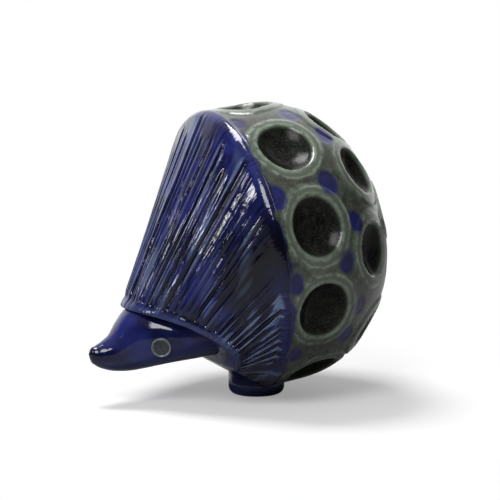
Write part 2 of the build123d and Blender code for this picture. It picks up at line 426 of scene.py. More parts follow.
def curve_through(places, values, at):
    """A smooth curve through values at rising places."""
    places = np.array(places)
    values = np.array(values)
    slopes = np.gradient(values, places, axis=0)
    index = np.clip(np.searchsorted(places, at, side="right") - 1, 0, len(places) - 2)
    width = places[index + 1] - places[index]
    share = (at - places[index]) / width
    if values.ndim > 1:
        width = width[..., None]
        share = share[..., None]
    rest = 1 - share
    near = values[index] * (1 + 2 * share) * rest ** 2 + slopes[index] * width * share * rest ** 2
    far = values[index + 1] * (3 - 2 * share) * share ** 2 - slopes[index + 1] * width * rest * share ** 2
    return near + far


def lengths_along(points):
    """The way along a line of points, from 0 at the first of them."""
    return np.concatenate([[0], np.cumsum(np.linalg.norm(np.diff(points, axis=0), axis=1))])


def sway(first, second, seed, wavelength):
    """Slow hand-made unevenness between about -1 and 1, from two places."""
    generator = np.random.default_rng(seed)
    total = np.zeros_like(first)
    for _ in range(SWAY_WAVES):
        turn, phase = generator.uniform(0, 2 * np.pi, 2)
        length = wavelength * generator.uniform(*SWAY_LENGTH_SHARES)
        total += np.sin((first * np.cos(turn) + second * np.sin(turn)) * 2 * np.pi / length + phase)
    return total / (SWAY_WAVES / 2)


def placed(name, data):
    """An object of the scene from its data."""
    made = bpy.data.objects.new(name, data)
    bpy.context.scene.collection.objects.link(made)
    return made


def mesh_from(name, work):
    """A mesh from a bmesh, which is freed."""
    mesh = bpy.data.meshes.new(name)
    work.to_mesh(mesh)
    work.free()
    return mesh


def vertex_places(mesh):
    """The mesh's vertices as rows of three numbers."""
    places = np.empty(len(mesh.vertices) * 3)
    mesh.vertices.foreach_get("co", places)
    return places.reshape(-1, 3)


def add_field(mesh, field, values):
    """Gives the mesh a number at each vertex, for its glaze."""
    layer = mesh.attributes.new(field, "FLOAT", "POINT")
    layer.data.foreach_set("value", np.asarray(values, float))


def finished(name, mesh):
    """An object from a mesh whose doubles are merged and whose faces point outwards."""
    work = bmesh.new()
    work.from_mesh(mesh)
    bmesh.ops.remove_doubles(work, verts=work.verts, dist=MERGED_WITHIN * MM)
    bmesh.ops.dissolve_degenerate(work, edges=work.edges, dist=SLIVER * MM)
    bmesh.ops.recalc_face_normals(work, faces=work.faces)
    for face in work.faces:
        face.smooth = True
    work.to_mesh(mesh)
    work.free()
    return placed(name, mesh)


def grid_piece(name, columns, rows, place):
    """A closed piece from a flat grid that place() bends into shape, with its named fields as attributes."""
    flat = bmesh.new()
    bmesh.ops.create_grid(flat, x_segments=columns, y_segments=rows, size=0.5)
    mesh = mesh_from(name, flat)
    flat_places = vertex_places(mesh)
    points, fields = place(flat_places[:, 0] + 0.5, flat_places[:, 1] + 0.5)
    mesh.vertices.foreach_set("co", (points * MM).ravel())
    for field, values in fields.items():
        add_field(mesh, field, values)
    return finished(name, mesh)


def cap_radius():
    """The radius of the arc that closes the back."""
    return BEND_RADIUS + (BODY_RADIUS - BEND_RADIUS) / np.cos(np.radians(BEND_TURN))


def cap_centre():
    """Where the closing arc's centre lies along the axis."""
    return STRAIGHT_BEHIND - (BODY_RADIUS - BEND_RADIUS) * np.tan(np.radians(BEND_TURN))


def meridian_lengths():
    """The lengths of the back's straight part, bend and closing arc."""
    turn = np.radians(BEND_TURN)
    return STRAIGHT_BEHIND + RIM_AHEAD, BEND_RADIUS * turn, cap_radius() * (np.pi / 2 - turn)


def meridian(distance):
    """Along, radius and outward lean of the back at a distance from its rim."""
    straight, bend, _ = meridian_lengths()
    turn_bend = np.clip((distance - straight) / BEND_RADIUS, 0, np.radians(BEND_TURN))
    turn_cap = np.clip((distance - straight - bend) / cap_radius(), 0, None) + np.radians(BEND_TURN)
    on_cap = distance > straight + bend
    lean = np.where(on_cap, turn_cap, turn_bend)
    along_bend = np.minimum(distance - RIM_AHEAD, STRAIGHT_BEHIND) + BEND_RADIUS * np.sin(turn_bend)
    radius_bend = BODY_RADIUS - BEND_RADIUS * (1 - np.cos(turn_bend))
    along = np.where(on_cap, cap_centre() + cap_radius() * np.sin(turn_cap), along_bend)
    radius = np.where(on_cap, cap_radius() * np.cos(turn_cap), radius_bend)
    return along, radius, lean


def distance_at(along):
    """The distance from the rim along the back's surface to a place along the axis."""
    steps = np.linspace(0, sum(meridian_lengths()), MERIDIAN_STEPS)
    return np.interp(along, meridian(steps)[0], steps)


def back_spot(along, angle):
    """A place on the back, with its outward, along and around directions, in the body's frame."""
    place, radius, lean = meridian(distance_at(along))
    turn = np.radians(angle)
    ray = np.array([0, -np.sin(turn), np.cos(turn)])
    axis = np.array([1.0, 0, 0])
    spot = axis * place + ray * radius
    outward = axis * np.sin(lean) + ray * np.cos(lean)
    along_way = axis * np.cos(lean) - ray * np.sin(lean)
    return spot, outward, along_way, np.cross(outward, along_way)


def oval_gap(points, mark, wobble, seed):
    """How far outside an oval mark each point lies, and its share of the way out from the middle."""
    along, angle, half_along, half_around = mark
    spot, outward, along_way, around_way = back_spot(along, angle)
    offset = points - spot
    x = offset @ along_way / half_along
    y = offset @ around_way / half_around
    turn = np.arctan2(y, x)
    generator = np.random.default_rng(seed)
    phases = generator.uniform(0, 2 * np.pi, OVAL_WAVES)
    uneven = sum(np.sin((i + 2) * turn + phases[i]) / (i + 1.5) for i in range(OVAL_WAVES))
    share = np.hypot(x, y) * (1 + wobble * uneven)
    share = np.where(offset @ outward < -OTHER_SIDE, FAR_SHARE, share)
    return (share - 1) * (half_along + half_around) / 2, share


def both_sides(left, middle):
    """Marks of both sides: the right ones mirror the left ones, a little off as a hand makes them."""
    generator = np.random.default_rng(SIDES_SEED)
    marks = list(middle) + list(left)
    for along, angle, half_along, half_around in left:
        shift = generator.uniform(-1, 1, 3)
        along += STRAY_ALONG * shift[0]
        angle = STRAY_ANGLE * shift[1] - angle
        marks.append((along, angle, half_along, half_around + STRAY_SIZE * shift[2]))
    return marks


def rim_wave(angle):
    """How far behind the seam the blue glaze reaches, round the rim."""
    turn = np.radians(angle)
    return RIM_GLAZE + sum(height * np.sin(count * turn + start) for height, count, start in RIM_LOBES)


def bowl_gaps(points):
    """How far outside the nearest bowl each point lies, and its share of the way out from the middle."""
    nearest = np.full(len(points), FAR_GAP)
    nearest_share = np.full(len(points), FAR_SHARE)
    for i, mark in enumerate(both_sides(LEFT_BOWLS, MIDDLE_BOWLS)):
        gap, share = oval_gap(points, mark, BOWL_WOBBLE_SHARE, i)
        nearest_share = np.where(gap < nearest, share, nearest_share)
        nearest = np.minimum(nearest, gap)
    return nearest, nearest_share


def dot_gaps(points):
    """How far outside the nearest dot each point lies."""
    nearest = np.full(len(points), FAR_GAP)
    for i, mark in enumerate([*both_sides(LEFT_DOTS, MIDDLE_DOTS), *END_DOTS]):
        gap = oval_gap(points, mark, DOT_WOBBLE_SHARE, DOTS_SEED + i)[0]
        nearest = np.minimum(nearest, gap - DOT_SPREAD)
    return nearest


def back_place(u, v):
    """Bends the grid into the back. The first row closes the rim at the axis."""
    rows = np.round(v * BACK_ROWS)
    distance = np.clip((rows - 1) / (BACK_ROWS - 1), 0, 1) * sum(meridian_lengths())
    along, radius, lean = meridian(distance)
    radius = np.where(rows == 0, 0, radius)
    turn = 2 * np.pi * (u - 0.5)
    ray_side = -np.sin(turn)
    ray_up = np.cos(turn)
    points = np.stack([along, radius * ray_side, radius * ray_up], axis=-1)
    outward = np.stack([np.sin(lean), np.cos(lean) * ray_side, np.cos(lean) * ray_up], axis=-1)
    bowl_gap, bowl_share = bowl_gaps(points)
    dot_gap = dot_gaps(points)

    collar = 1 - smooth(bowl_gap, COLLAR_WIDTH - COLLAR_FADE, COLLAR_WIDTH + COLLAR_FADE)
    rise = COLLAR_RISE * collar - GROUND_DROP
    rise += LIP_RISE * bump_at(bowl_gap, LIP_OUTSIDE, LIP_WIDTH)
    rise += BEAD_RISE * bump_at(bowl_gap, BEAD_OUTSIDE, BEAD_WIDTH)
    rise -= DOT_SINK * (1 - smooth(dot_gap, *DOT_SINK_SPAN))
    rise -= BOWL_DEPTH * (1 - np.clip(bowl_share, 0, 1) ** BOWL_POWER)
    rise += GROUND_SWAY * sway(distance, turn * BODY_RADIUS, GROUND_SEED, GROUND_SWAY_LENGTH)
    rise = np.minimum(rise, -RISE_LIMIT) * smooth(distance, 0, RIM_FADE)
    points = points + outward * rise[:, None]
    fields = {
        "bowl_gap": bowl_gap,
        "bowl_share": bowl_share,
        "dot_gap": dot_gap,
        "rim_gap": distance - rim_wave(np.degrees(turn)),
    }
    return from_body(points[:, 0], points[:, 1], points[:, 2]), fields


def throat_curve():
    """The edge under the brow, seen from the side: X for rising Z."""
    tip = (BROW_X - THROAT_TIP_AHEAD, BROW_Z + THROAT_TIP_RISE)
    middle = (THROAT_MIDDLE_X, THROAT_MIDDLE_Z)
    back = (THROAT_BACK_X, THROAT_BACK_Z)
    heel = (THROAT_HEEL_X, -THROAT_HEEL_DROP)
    knots = np.array([heel, back, middle, tip])
    places = lengths_along(knots)
    curve = curve_through(places, knots, np.linspace(0, places[-1], THROAT_STEPS))
    return curve[:, 1], curve[:, 0]


def brow_ring(share):
    """Points round the brow's section at shares of its length, from the top to the left and on round."""
    fine = np.linspace(0, 2 * np.pi, RING_STEPS)
    top = np.array([BROW_X, 0, BROW_Z])
    bottom = np.array([BROW_BACK_X, 0, BROW_BACK_Z])
    middle = top + (bottom - top) * BROW_WIDEST_SHARE
    cosine = np.cos(fine)[:, None]
    ring = middle + np.where(cosine > 0, (top - middle) * cosine, (middle - bottom) * cosine)
    ring[:, 1] -= BROW_HALF_WIDTH * np.sin(fine)
    places = lengths_along(ring)
    at = (share % 1) * places[-1]
    return np.stack([np.interp(at, places, ring[:, i]) for i in range(3)], axis=-1)


def shoulder_ring(share, along, inset):
    """Points round a circle square to the body's axis."""
    turn = 2 * np.pi * share
    radius = BODY_RADIUS - inset
    return from_body(along, -radius * np.sin(turn), radius * np.cos(turn))


def strokes(around, left, places, depths, widths, starts, ends, leans):
    """Grooves with raised sides, each from its start to its end as shares of the way left to the brow."""
    relief = np.zeros(len(around))
    local = 2 * np.pi * BODY_RADIUS * (BROW_SPREAD_SHARE + (1 - BROW_SPREAD_SHARE) * left)
    for place, depth, width, start, end, lean in zip(places, depths, widths, starts, ends, leans):
        thick = width * (BROW_NARROW_SHARE + (1 - BROW_NARROW_SHARE) * left)
        off = (around - place - lean * (1 - left) + 0.5) % 1 - 0.5
        near = np.abs(off) * local < STROKE_REACH_SHARE * thick
        distance = np.abs(off[near]) * local[near]
        thick = thick[near]
        reach = smooth(left[near], end, end + STROKE_END_FADE_SHARE)
        reach *= 1 - smooth(left[near], start - STROKE_START_FADE_SHARE, start)
        groove = bump_at(distance, 0, thick)
        ridge = bump_at(distance, RIDGE_OUTSIDE_SHARE * thick, RIDGE_WIDTH_SHARE * thick)
        relief[near] += depth * reach * (RIDGE_SHARE * ridge - groove)
    return relief


def comb_relief(around, left):
    """The combed grooves: the solid's main ones, a fan low on the flanks, and finer ones between."""
    generator = np.random.default_rng(STROKES_SEED)

    def row(places, stray, depths, widths, starts, ends, lean):
        """One row of strokes that stray and lean a little, with sizes drawn from their ranges."""
        count = len(places)
        return strokes(
            around,
            left,
            places + generator.uniform(-stray, stray, count),
            generator.uniform(*depths, count),
            generator.uniform(*widths, count),
            generator.uniform(*starts, count),
            generator.uniform(*ends, count),
            generator.normal(0, lean, count),
        )

    sides = np.arange(-GROOVES_A_SIDE, GROOVES_A_SIDE + 1)
    relief = row(
        sides * GROOVE_TURN / 360,
        stray=0.003,
        depths=(0.35 * GROOVE_DEPTH, 1.1 * GROOVE_DEPTH),
        widths=(0.7, 1.3),
        starts=(0.9, 1.15),
        ends=(-0.2, 0.02),
        lean=0.002,
    )
    between = sides + 0.5
    relief += row(
        between[np.abs(between) > FAN_START] * GROOVE_TURN / 360,
        stray=0.002,
        depths=(0.65 * GROOVE_DEPTH, GROOVE_DEPTH),
        widths=(0.75, 1.05),
        starts=(0.95, 1.15),
        ends=(-0.2, 0.1),
        lean=0.002,
    )
    for count, depth, width in FINE_COUNT_DEPTH_WIDTH:
        relief += row(
            np.arange(count) / count - 0.5,
            stray=0.45 / count,
            depths=(0.2 * depth, depth),
            widths=(0.8 * width, 1.3 * width),
            starts=(0.5, 0.97),
            ends=(-0.1, 0.4),
            lean=0.004,
        )
    return relief


def front_paths():
    """Where each column leaves the shoulder and would meet the brow, and its share up to the throat."""
    column = np.arange(FRONT_COLUMNS + 1) / FRONT_COLUMNS - 0.5
    turn = np.radians(SHOULDER_TURN)
    along = -SHOULDER_AHEAD - SHOULDER_ROUND * np.sin(turn)
    near = shoulder_ring(column, along, SHOULDER_ROUND * (1 - np.cos(turn)))
    far = brow_ring(column)
    heights, edge_x = throat_curve()
    steps = np.linspace(0, 1, PATH_STEPS)
    paths = near[:, None] + (far - near)[:, None] * steps[None, :, None]
    cut = paths[..., 0] < np.interp(paths[..., 2], heights, edge_x, right=-np.inf)
    first_cut = np.where(cut.any(axis=1), cut.argmax(axis=1), PATH_STEPS - 1)
    wrapped = np.pad(steps[first_cut], EDGE_EVENED_OVER // 2, mode="wrap")
    end_share = np.convolve(wrapped, np.ones(EDGE_EVENED_OVER) / EDGE_EVENED_OVER, mode="valid")
    return near, far, end_share


def shoulder_points(share, rows):
    """The front's closed back and rounded shoulder, and how far each row has come round it."""
    step = np.clip((rows - 1) / SHOULDER_ROWS, 0, 1)
    straight = np.clip(step / SHOULDER_STRAIGHT_SHARE, 0, 1)
    bent = np.clip(step * (1 + SHOULDER_STRAIGHT_SHARE) - SHOULDER_STRAIGHT_SHARE, 0, 1)
    turn = np.radians(SHOULDER_TURN) * bent
    along = -RIM_AHEAD - (SHOULDER_AHEAD - RIM_AHEAD) * straight - SHOULDER_ROUND * np.sin(turn)
    inset = np.where(rows == 0, BODY_RADIUS, SHOULDER_ROUND * (1 - np.cos(turn)))
    return shoulder_ring(share, along, inset), step


def front_relief(share, rows, reach, gap):
    """The front's combed relief, and how calm each place is. The gap is the way left to the edge."""
    left = 1 - reach
    angle = np.abs(share * 360)
    flank = smooth(angle, *FLANK_ANGLES)
    pinch = smooth(gap / (PINCH_LENGTH - PINCH_LENGTH_OFF_FLANK * flank), *PINCH_SHARES)
    calm = bump_at(angle, CALM_ANGLE, CALM_ANGLE_WIDTH) * smooth(left, *CALM_LEFT_SHARES)
    relief = comb_relief(share, np.where(rows > FRONT_START, left, 1.0))
    relief *= (1 - CALM_SHARE * calm) * (PINCHED_SHARE + (1 - PINCHED_SHARE) * pinch)
    relief *= smooth(rows, 3, FRONT_START + 4)
    uneven = sway(share * GIRTH, reach * FRONT_LENGTH, FRONT_SEED, FRONT_SWAY_LENGTH)
    return relief + FRONT_SWAY * uneven * smooth(rows, 2, 12), calm


def front_place(u, v):
    """Bends the grid into the carved front, from its closed back to the line under the brow."""
    rows = np.round(v * FRONT_END)
    share = u - 0.5
    index = np.clip(np.round(u * FRONT_COLUMNS).astype(int), 0, FRONT_COLUMNS)
    near, far, end_share = (values[index] for values in front_paths())
    whole = far - near
    way = np.clip((rows - FRONT_START) / FRONT_ROWS, 0, 1)
    reach = end_share * way
    on_front = rows > FRONT_START
    front_points = near + whole * reach[:, None]
    points, shoulder_step = shoulder_points(share, rows)
    points = np.where(on_front[:, None], front_points, points)

    gap = np.linalg.norm(whole * end_share[:, None], axis=1) * (1 - way)
    carved, calm = front_relief(share, rows, reach, gap)
    lip = EDGE_LIP_RISE * (1 - smooth(gap, *EDGE_LIP_SPAN))
    lip -= EDGE_DIP * bump_at(gap, EDGE_DIP_INSIDE, EDGE_DIP_WIDTH)
    sunk = np.minimum(carved + lip * on_front - FRONT_DROP, 0) * smooth(rows, 1, 6)
    outward = front_points - np.array([AXIS_X, 0, FRONT_HEART_Z])
    outward /= np.linalg.norm(outward, axis=1)[:, None]
    points = points + outward * sunk[:, None]

    tuck = np.clip((rows - EDGE_START) / EDGE_ROWS, 0, 1)
    under = np.clip((rows - UNDER_START) / UNDER_ROWS, 0, 1)
    turned = tuck * np.pi / 2
    inward = np.clip(points[:, 1] / EDGE_ROUND, -1, 1)
    down = whole / np.linalg.norm(whole, axis=1)[:, None]
    points[:, 1] -= inward * EDGE_ROUND * (1 - np.cos(turned))
    points = points + down * (EDGE_ROUND * EDGE_ROLL_SHARE * np.sin(turned))[:, None]
    points[:, 1] *= 1 - under
    slope = (PARED_BACK_Z - PARED_FRONT_Z) / (BASE_X - THROAT_HEEL_X)
    pared = PARED_FRONT_Z + slope * (points[:, 0] - THROAT_HEEL_X)
    points[:, 2] = np.maximum(points[:, 2], pared)

    past_shoulder = SHOULDER_ROUND + np.linalg.norm(points - near, axis=1)
    ahead = np.where(on_front, past_shoulder, SHOULDER_ROUND * shoulder_step)
    fields = {
        "relief": carved,
        "around": share * GIRTH,
        "left": 1 - reach,
        "calm": calm,
        "edge_gap": np.where(tuck > 0, -tuck, gap),
        "rim_gap": -ahead - rim_wave(share * 360),
    }
    return points, fields


def head_outline(along):
    """The head's top, bottom and width at shares of its length, as shares of its height and width."""
    outline = (HEAD_TOP_SHARES, HEAD_BOTTOM_SHARES, HEAD_WIDTH_SHARES)
    return [curve_through(HEAD_ALONG_SHARES, shares, along) for shares in outline]


def head_place(u, v):
    """Bends the grid into the head, from its root to the tip of the nose. The first row closes the root."""
    rows = np.round(v * HEAD_ROWS)
    step = np.clip((rows - 1) / (HEAD_ROWS - 1), 0, 1)
    along = 1 - (1 - step) ** NOSE_CROWDING
    turn = 2 * np.pi * (u - 0.5)
    top, bottom, width = head_outline(along)
    tip = np.clip((1 - along) / NOSE_TIP_SHARE, 0, 1)
    rounding = np.sqrt(1 - (1 - tip) ** 2)
    spread = np.where(rows == 0, 0, 1)
    half_height = (top - bottom) / 2 * rounding * spread
    flank = np.abs(np.sin(turn)) ** FLANK_POWER * np.sign(np.sin(turn))
    x = HEAD_ROOT_X + (NOSE_X - HEAD_ROOT_X) * along
    y = -HEAD_HALF_WIDTH * width * spread * flank
    z = JAW_Z + (CROWN_Z - JAW_Z) * ((top + bottom) / 2 + half_height * np.cos(turn))
    fields = {"along": along, "turn": np.abs(np.degrees(turn))}
    return np.stack([x, y, z], axis=-1), fields


def head_half_width(x, z):
    """The head's half width at a place on its side."""
    along = (x - HEAD_ROOT_X) / (NOSE_X - HEAD_ROOT_X)
    top, bottom, width = (shares[0] for shares in head_outline(np.array([along])))
    share = ((z - JAW_Z) / (CROWN_Z - JAW_Z) - (top + bottom) / 2) / ((top - bottom) / 2)
    return HEAD_HALF_WIDTH * width * (1 - share ** 2) ** (FLANK_POWER / 2)


def eye_seat(side):
    """The eye's place on the head's side, and the direction that it faces there."""
    turn = np.radians(EYE_FORWARD_TURN)
    outward = Vector((-np.sin(turn), side * np.cos(turn), 0))
    reach = EYE_FIRST_REACH
    for _ in range(EYE_TRIES):
        spot = Vector((EYE_LINE_X, 0, EYE_Z)) + outward * reach
        reach += (head_half_width(spot.x, spot.z) - abs(spot.y)) * EYE_STEP_SHARE
    wider_ahead = head_half_width(spot.x - 1, spot.z) - head_half_width(spot.x + 1, spot.z)
    wider_below = head_half_width(spot.x, spot.z - 1) - head_half_width(spot.x, spot.z + 1)
    facing = Vector((wider_ahead / 2, side, wider_below / 2)).normalized()
    return spot + facing * EYE_LIFT, facing


def eye_piece(name, side):
    """A pressed eye: a raised ring round a shallow disc, spun from its profile."""
    work = bmesh.new()
    verts = [work.verts.new((radius * MM, 0, height * MM)) for radius, height in EYE_PROFILE]
    edges = [work.edges.new(pair) for pair in zip(verts, verts[1:])]
    bmesh.ops.spin(
        work,
        geom=verts + edges,
        cent=(0, 0, 0),
        axis=(0, 0, 1),
        angle=2 * np.pi,
        steps=EYE_STEPS,
        use_merge=True,
    )
    mesh = mesh_from(name, work)
    places = vertex_places(mesh)
    add_field(mesh, "ring", np.hypot(places[:, 0], places[:, 1]) / MM)
    spot, facing = eye_seat(side)
    aim = facing.to_track_quat("Z", "Y").to_matrix().to_4x4()
    mesh.transform(Matrix.Translation(spot * MM) @ aim)
    piece = finished(name, mesh)
    softened = piece.modifiers.new("soft", "SUBSURF")
    softened.levels = 1
    softened.render_levels = 1
    return piece


def base_piece(name):
    """The short round base with a rounded sole edge."""
    work = bmesh.new()
    bmesh.ops.create_circle(work, cap_ends=True, segments=CIRCLE_STEPS, radius=BASE_RADIUS * MM)
    raised = bmesh.ops.extrude_face_region(work, geom=work.faces[:])["geom"]
    top = [part for part in raised if isinstance(part, bmesh.types.BMVert)]
    bmesh.ops.translate(work, vec=(0, 0, BASE_HEIGHT * MM), verts=top)
    bmesh.ops.recalc_face_normals(work, faces=work.faces)
    sole = [edge for edge in work.edges if all(abs(vert.co.z) < SLIVER * MM for vert in edge.verts)]
    bmesh.ops.bevel(
        work,
        geom=sole,
        offset=BASE_EDGE * MM,
        segments=BEVEL_STEPS,
        profile=0.5,
        affect="EDGES",
        material=-1,
    )
    bmesh.ops.translate(work, vec=(BASE_X * MM, 0, 0), verts=work.verts)
    return finished(name, mesh_from(name, work))


class Value:
    """A shader value. Arithmetic on it adds Math nodes to its finish."""

    def __init__(self, finish, socket):
        self.finish = finish
        self.socket = socket

    def math(self, operation, *values):
        """Adds a Math node."""
        return self.finish.node("ShaderNodeMath", {"operation": operation}, values)

    def __add__(self, other):
        return self.math("ADD", self, other)

    __radd__ = __add__

    def __mul__(self, other):
        return self.math("MULTIPLY", self, other)

    __rmul__ = __mul__

    def __sub__(self, other):
        return self.math("SUBTRACT", self, other)

    def __rsub__(self, other):
        return self.math("SUBTRACT", other, self)

    def __neg__(self):
        return self.math("SUBTRACT", 0.0, self)

    def __abs__(self):
        return self.math("ABSOLUTE", self)


class Finish:
    """One glaze, or the room's light: a material or world whose nodes are added one by one."""

    def __init__(self, owner):
        owner.use_nodes = True
        self.owner = owner
        self.tree = owner.node_tree
        self.tree.nodes.clear()

    def node(self, kind, settings=None, inputs=None, output=0):
        """Adds a node, sets it up, then sets or links its sockets."""
        made = self.tree.nodes.new(kind)
        for key, value in (settings or {}).items():
            setattr(made, key, value)
        pairs = inputs.items() if isinstance(inputs, dict) else enumerate(inputs or [])
        for key, value in pairs:
            if isinstance(value, Value):
                self.tree.links.new(value.socket, made.inputs[key])
            else:
                made.inputs[key].default_value = value
        return Value(self, made.outputs[output]) if made.outputs else None

    def field(self, name):
        """A number that the mesh carries at each point."""
        return self.node("ShaderNodeAttribute", {"attribute_name": name}, output="Fac")

    def place(self):
        """The point's place in the figure."""
        return self.node("ShaderNodeTexCoord", output="Object")

    def noise(self, wavelength, detail=2.0, roughness=0.5, vector=None):
        """Cloudy noise between 0 and 1, with a wavelength in millimetres."""
        inputs = {
            "Vector": vector or self.place(),
            "Scale": 1 / (wavelength * MM) if vector is None else 1 / wavelength,
            "Detail": detail,
            "Roughness": roughness,
        }
        return self.node("ShaderNodeTexNoise", None, inputs)

    def vector(self, x, y, z):
        """A place made of three numbers."""
        return self.node("ShaderNodeCombineXYZ", None, [x, y, z])

    def step(self, value, low, high):
        """0 below low, 1 above high, smooth between."""
        settings = {"interpolation_type": "SMOOTHSTEP"}
        return self.node("ShaderNodeMapRange", settings, [value, low, high, 0.0, 1.0])

    def mix(self, first, second, factor):
        """Mixes two colours."""
        settings = {"data_type": "RGBA", "blend_type": "MIX"}
        inputs = {MIX_FACTOR: factor, MIX_FIRST: first, MIX_SECOND: second}
        return self.node("ShaderNodeMix", settings, inputs, output=MIX_RESULT)

    def lay(self, under, over, value, low, high, share):
        """Lays a share of a colour over another where a value passes from low to high."""
        return self.mix(under, over, self.step(value, low, high) * share)

    def bump(self, height, depth, normal=None):
        """Waves of a depth in millimetres, over those that are there."""
        inputs = {"Height": height, "Distance": depth * MM}
        if normal is not None:
            inputs["Normal"] = normal
        return self.node("ShaderNodeBump", None, inputs)

    def glaze(self, colour, roughness, normal, coat=None):
        """Ends the finish as a glossy glaze, or as a thin one under a glossy coat of varying weight."""
        inputs = {"Base Color": colour, "Normal": normal, "Roughness": roughness, "IOR": GLOSSY_IOR}
        if coat is not None:
            inputs |= {"Roughness": THIN_ROUGHNESS, "IOR": THIN_IOR}
            inputs |= {"Coat Weight": coat, "Coat Roughness": roughness, "Coat IOR": GLOSSY_IOR}
        surface = self.node("ShaderNodeBsdfPrincipled", None, inputs)
        self.node("ShaderNodeOutputMaterial", None, [surface])
        return self.owner


def glaze_surface(finish, strength=1.0):
    """The small waves of a fired glaze."""
    orange_peel = finish.noise(ORANGE_PEEL)
    waves = finish.noise(GLAZE_WAVES, detail=1.0)
    first = finish.bump(waves, GLAZE_WAVE_DEPTH * strength)
    return finish.bump(orange_peel, FINE_WAVE_DEPTH * strength, normal=first)


def blue_glaze(finish):
    """Cobalt glaze without carving: navy with cobalt and plum clouds and paler specks."""
    cloud = finish.noise(BLUE_CLOUDS, detail=3.0)
    speck = finish.noise(BLUE_SPECKS)
    colour = finish.mix(NAVY, COBALT, finish.step(cloud, low=0.35, high=0.6))
    colour = finish.lay(colour, PLUM, finish.noise(PLUM_CLOUDS), low=0.52, high=0.7, share=0.7)
    return finish.lay(colour, STEEL_BLUE, speck, low=0.5, high=0.8, share=0.25)


def bowl_colour(finish, fine, mottle):
    """The bowls' insides: charcoal with olive and moss specks, mossier towards the lip."""
    colour = finish.mix(CHARCOAL, OLIVE, finish.step(fine + mottle, low=0.85, high=1.25))
    colour = finish.lay(colour, MOSS, fine, low=0.5, high=0.75, share=0.7)
    return finish.lay(colour, MOSS, finish.field("bowl_share"), low=0.75, high=1.0, share=0.4)


def back_finish():
    """Mottled green glaze with dark bowls, pale lips and blue dots."""
    finish = Finish(bpy.data.materials.new("dome_glaze"))
    bowl_gap = finish.field("bowl_gap")
    mottle = finish.noise(MOTTLES, detail=4.0, roughness=0.6)
    fine = finish.noise(FINE_SPECKS, detail=3.0, roughness=0.65)
    cloud = finish.noise(GREEN_CLOUDS)
    uneven_gap = bowl_gap + (finish.noise(COLLAR_WAVES) - 0.5) * COLLAR_STRAY

    colour = finish.mix(MOSS, SAGE, finish.step(mottle + cloud * 0.4, low=0.45, high=0.75))
    taupe_cloud = finish.noise(TAUPE_CLOUDS, detail=3.0)
    colour = finish.lay(colour, TAUPE, taupe_cloud, low=0.5, high=0.62, share=0.6)
    colour = finish.lay(colour, PALE_GREEN, fine + mottle * 0.5, low=0.78, high=0.96, share=0.35)
    collar = 1.0 - finish.step(uneven_gap, *COLLAR_SPAN)
    colour = finish.mix(colour, SAGE, collar * (0.25 + mottle))
    bead = finish.step(uneven_gap, *BEAD_INNER_SPAN) - finish.step(uneven_gap, *BEAD_OUTER_SPAN)
    colour = finish.lay(colour, PALE_GREEN, mottle, low=0.35, high=0.6, share=bead * 0.7)
    colour = finish.lay(colour, OLIVE, uneven_gap, *GROUND_SPAN, share=0.4)
    lip = finish.step(bowl_gap, *LIP_INNER_SPAN) - finish.step(uneven_gap, *LIP_OUTER_SPAN)
    colour = finish.lay(colour, PALE_GREEN, mottle, low=0.25, high=0.65, share=lip * 0.65)
    inside = 1.0 - finish.step(bowl_gap, *BOWL_SPAN)
    colour = finish.mix(colour, bowl_colour(finish, fine, mottle), inside)

    soft_dot = finish.field("dot_gap") + (finish.noise(DOT_WAVES) - 0.5) * DOT_STRAY
    halo = 1.0 - finish.step(soft_dot, *DOT_HALO_SPAN)
    colour = finish.mix(colour, DOT_EDGE, halo * 0.6)
    dot = finish.mix(DOT_BLUE, COBALT, finish.step(cloud, low=0.4, high=0.6))
    colour = finish.mix(colour, dot, 1.0 - finish.step(soft_dot, *DOT_SPAN))

    green = finish.step(finish.field("rim_gap") + (fine - 0.5), *SEAM_SPAN)
    colour = finish.mix(blue_glaze(finish), colour, green)
    normal = finish.bump(fine, FINE_WAVE_DEPTH, normal=glaze_surface(finish))
    coat = COAT_ON_BLUE - COAT_LOST_ON_GREEN * green - COAT_LOST_IN_BOWLS * inside * green
    return finish.glaze(colour, roughness=0.1, normal=normal, coat=coat)


